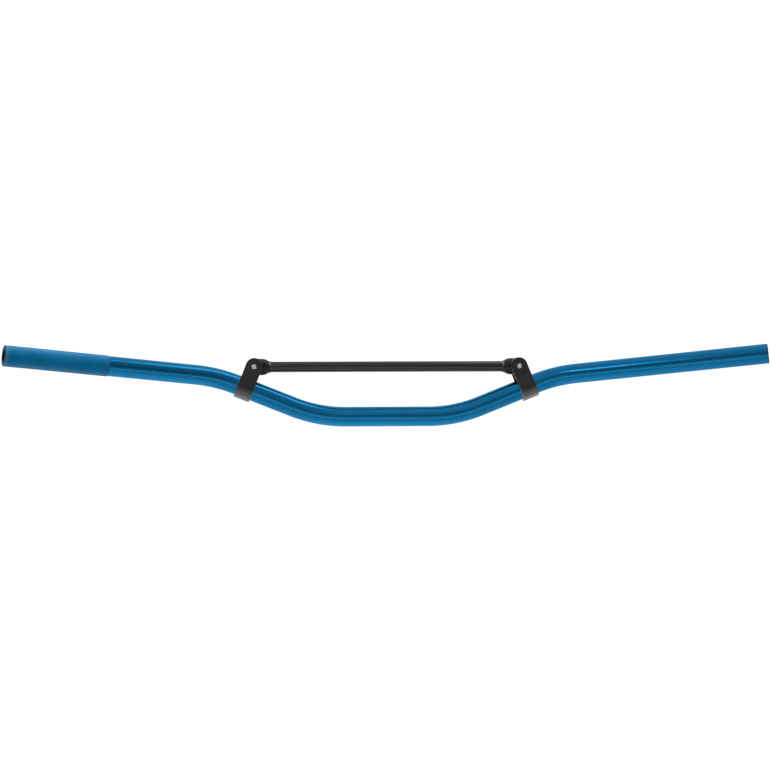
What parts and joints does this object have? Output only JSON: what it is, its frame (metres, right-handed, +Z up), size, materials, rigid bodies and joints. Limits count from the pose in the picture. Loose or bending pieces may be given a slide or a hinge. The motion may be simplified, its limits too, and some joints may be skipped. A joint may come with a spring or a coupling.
{
  "type": "motocross handlebar",
  "caption": "Bent tubular motocross handlebar, braced by a straight crossbar that sits in moulded ends under folded strap clamps, with a knurled band at the left grip.",
  "frame": {"origin": "middle of the stem seat, the straight middle stretch of the bar, on the tube's axis", "axes": "+X along the stem seat to the rider's right, +Y forward, +Z up"},
  "size_m": [0.8381, 0.0933, 0.0903],
  "materials": {
    "bar_tube": "blue anodised, glossy, with a matt knurled band at the left end",
    "crossbar": "black anodised, satin",
    "moulded_end": "black moulded nylon, satin",
    "strap": "black coated steel strip, satin",
    "fastener": "bright zinc plated",
    "bush": "plain turned steel"
  },
  "bodies": {
    "root": {"handlebar_tube": "bar_tube", "crossbar": "crossbar", "left_crossbar_end": "moulded_end", "left_clamp_strap": "strap", "left_clamp_screw": "fastener", "left_clamp_washer": "fastener", "left_clamp_bush": "bush", "right_crossbar_end": "moulded_end", "right_clamp_strap": "strap", "right_clamp_screw": "fastener", "right_clamp_washer": "fastener", "right_clamp_bush": "bush"}
  },
  "joints": []
}
